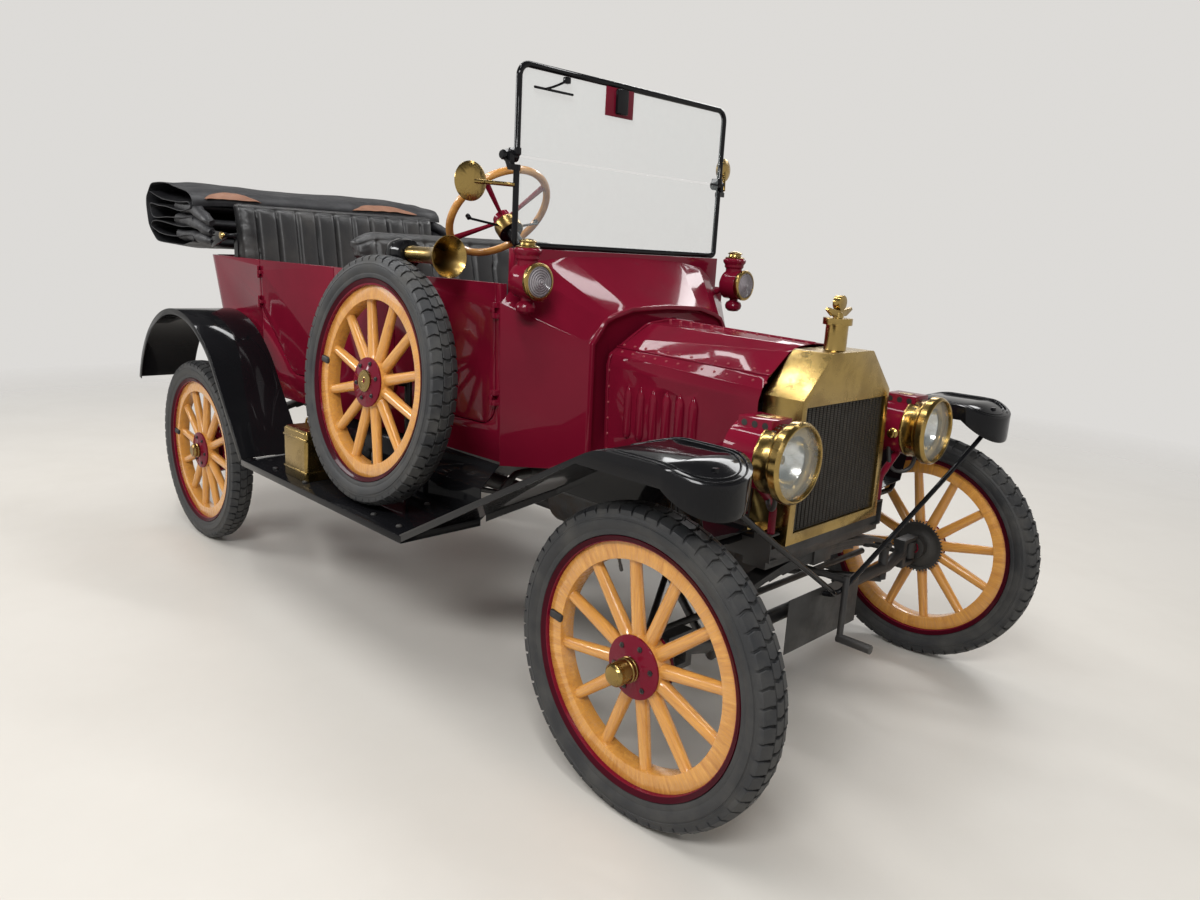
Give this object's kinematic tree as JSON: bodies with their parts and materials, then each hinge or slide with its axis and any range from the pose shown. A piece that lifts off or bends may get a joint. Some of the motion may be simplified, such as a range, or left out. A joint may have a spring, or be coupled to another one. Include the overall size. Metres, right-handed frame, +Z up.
{
  "type": "antique touring car",
  "caption": "Open antique touring car with wood-spoked wheels that roll and steer, hinged doors, bonnet and screen, and a folded hood.",
  "frame": {"origin": "bottom centre of the whole car's box, on the ground", "axes": "+X forward, +Y to the car's left, +Z up"},
  "size_m": [3.661, 1.676, 1.809],
  "materials": {
    "maroon_paint": "gloss",
    "black_enamel": "gloss",
    "chassis_black": "satin",
    "brass": "polished",
    "varnished_wood": "gloss varnish",
    "black_leather": "satin",
    "hood_cloth": "matte",
    "tyre_rubber": "matte",
    "clear_glass": "clear",
    "engine_iron": "rough"
  },
  "bodies": {
    "chassis": {"frame": "chassis_black", "springs": "chassis_black", "front_axle": "chassis_black", "rear_axle": "chassis_black", "engine": "engine_iron", "exhaust": "engine_iron", "crank": "chassis_black", "radiator_shell": "brass", "radiator_core": "black_enamel", "cowl": "maroon_paint", "body_tub": "maroon_paint", "front_seat_cushion": "black_leather", "front_seat_back": "black_leather", "rear_seat_cushion": "black_leather", "rear_seat_back": "black_leather", "hood": "hood_cloth", "hood_irons": "black_enamel", "front_fenders": "black_enamel", "rear_fenders": "black_enamel", "running_boards": "black_enamel", "screen_frame": "black_enamel", "screen_glass_lower": "clear_glass", "steering_column": "black_enamel", "lamp_bodies": "maroon_paint", "lamp_rims": "brass", "lamp_lenses": "clear_glass", "horn": "brass", "brass_can": "brass", "mirrors": "brass", "spare_tyre": "tyre_rubber", "spare_spokes": "varnished_wood", "spare_rim_hub": "maroon_paint"},
    "wheel_front_right": {"tyre_front_right": "tyre_rubber", "spokes_front_right": "varnished_wood", "rim_hub_front_right": "maroon_paint"},
    "wheel_front_left": {"tyre_front_left": "tyre_rubber", "spokes_front_left": "varnished_wood", "rim_hub_front_left": "maroon_paint"},
    "wheel_rear_right": {"tyre_rear_right": "tyre_rubber", "spokes_rear_right": "varnished_wood", "rim_hub_rear_right": "maroon_paint"},
    "wheel_rear_left": {"tyre_rear_left": "tyre_rubber", "spokes_rear_left": "varnished_wood", "rim_hub_rear_left": "maroon_paint"},
    "knuckle_right": {"knuckle_right": "chassis_black"},
    "door_front_right": {"door_front_right": "maroon_paint"},
    "door_rear_right": {"door_rear_right": "maroon_paint"},
    "bonnet_top_right": {"bonnet_top_right": "maroon_paint"},
    "bonnet_side_right": {"bonnet_side_right": "maroon_paint"},
    "knuckle_left": {"knuckle_left": "chassis_black"},
    "door_front_left": {"door_front_left": "maroon_paint"},
    "door_rear_left": {"door_rear_left": "maroon_paint"},
    "bonnet_top_left": {"bonnet_top_left": "maroon_paint"},
    "bonnet_side_left": {"bonnet_side_left": "maroon_paint"},
    "tie_rod": {"tie_rod": "chassis_black"},
    "pitman_arm": {"pitman_arm": "chassis_black"},
    "steering_wheel": {"steering_rim": "varnished_wood", "steering_spider": "maroon_paint"},
    "upper_screen": {"screen_upper_frame": "black_enamel", "screen_glass_upper": "clear_glass"}
  },
  "joints": [
    {"name": "steer_right", "type": "hinge", "parent": "chassis", "child": "knuckle_right", "pos_m": [1.4495, -0.621, 0.381], "axis": [0, 0, 1], "range_deg": [-28, 28]},
    {"name": "steer_left", "type": "hinge", "parent": "chassis", "child": "knuckle_left", "pos_m": [1.4495, 0.621, 0.381], "axis": [0, 0, 1], "range_deg": [-28, 28]},
    {"name": "tie_rod_pivot", "type": "hinge", "parent": "knuckle_right", "child": "tie_rod", "pos_m": [1.3095, -0.597, 0.36], "axis": [0, 0, 1], "range_deg": [-28, 28]},
    {"name": "pitman_turn", "type": "hinge", "parent": "chassis", "child": "pitman_arm", "pos_m": [1.18913, -0.19, 0.5452], "axis": [-0.7466, 0, 0.6652], "range_deg": [-28, 28]},
    {"name": "steering_turn", "type": "hinge", "parent": "chassis", "child": "steering_wheel", "pos_m": [0.2185, -0.19, 1.41], "axis": [-0.7466, 0, 0.6652], "range_deg": [-112, 112]},
    {"name": "roll_front_right", "type": "hinge", "parent": "knuckle_right", "child": "wheel_front_right", "pos_m": [1.4495, -0.711, 0.381], "axis": [0, 1, 0], "continuous": true},
    {"name": "roll_front_left", "type": "hinge", "parent": "knuckle_left", "child": "wheel_front_left", "pos_m": [1.4495, 0.711, 0.381], "axis": [0, 1, 0], "continuous": true},
    {"name": "roll_rear_right", "type": "hinge", "parent": "chassis", "child": "wheel_rear_right", "pos_m": [-1.0905, -0.711, 0.381], "axis": [0, 1, 0], "continuous": true},
    {"name": "roll_rear_left", "type": "hinge", "parent": "chassis", "child": "wheel_rear_left", "pos_m": [-1.0905, 0.711, 0.381], "axis": [0, 1, 0], "continuous": true},
    {"name": "door_front_right_swing", "type": "hinge", "parent": "chassis", "child": "door_front_right", "pos_m": [0.634, -0.52786, 0.98], "axis": [0, 0, 1], "range_deg": [0, 7]},
    {"name": "door_front_left_swing", "type": "hinge", "parent": "chassis", "child": "door_front_left", "pos_m": [0.634, 0.52786, 0.98], "axis": [0, 0, -1], "range_deg": [0, 65]},
    {"name": "door_rear_right_swing", "type": "hinge", "parent": "chassis", "child": "door_rear_right", "pos_m": [-0.778, -0.597, 0.98], "axis": [0, 0, -1], "range_deg": [0, 40]},
    {"name": "door_rear_left_swing", "type": "hinge", "parent": "chassis", "child": "door_rear_left", "pos_m": [-0.778, 0.597, 0.98], "axis": [0, 0, 1], "range_deg": [0, 40]},
    {"name": "upper_screen_fold", "type": "hinge", "parent": "chassis", "child": "upper_screen", "pos_m": [0.6265, 0, 1.552], "axis": [0, -1, 0], "range_deg": [0, 170]},
    {"name": "bonnet_right_lift", "type": "hinge", "parent": "chassis", "child": "bonnet_top_right", "pos_m": [0.8375, 0, 1.104], "axis": [-0.9995, 0, 0.0311], "range_deg": [0, 70]},
    {"name": "bonnet_left_lift", "type": "hinge", "parent": "chassis", "child": "bonnet_top_left", "pos_m": [0.8375, 0, 1.104], "axis": [0.9995, 0, -0.0311], "range_deg": [0, 70]},
    {"name": "bonnet_side_right_lift", "type": "hinge", "parent": "bonnet_top_right", "child": "bonnet_side_right", "pos_m": [0.8555, -0.231, 1.026], "axis": [-0.9976, -0.0609, 0.0324], "range_deg": [0, 110]},
    {"name": "bonnet_side_left_lift", "type": "hinge", "parent": "bonnet_top_left", "child": "bonnet_side_left", "pos_m": [0.8555, 0.231, 1.026], "axis": [0.9976, -0.0609, -0.0324], "range_deg": [0, 110]}
  ],
  "couplings": [
    {"joint": "steer_left", "follows": "steer_right", "ratio": 1},
    {"joint": "tie_rod_pivot", "follows": "steer_right", "ratio": -1},
    {"joint": "pitman_turn", "follows": "steer_right", "ratio": 1},
    {"joint": "steering_turn", "follows": "steer_right", "ratio": 4}
  ]
}
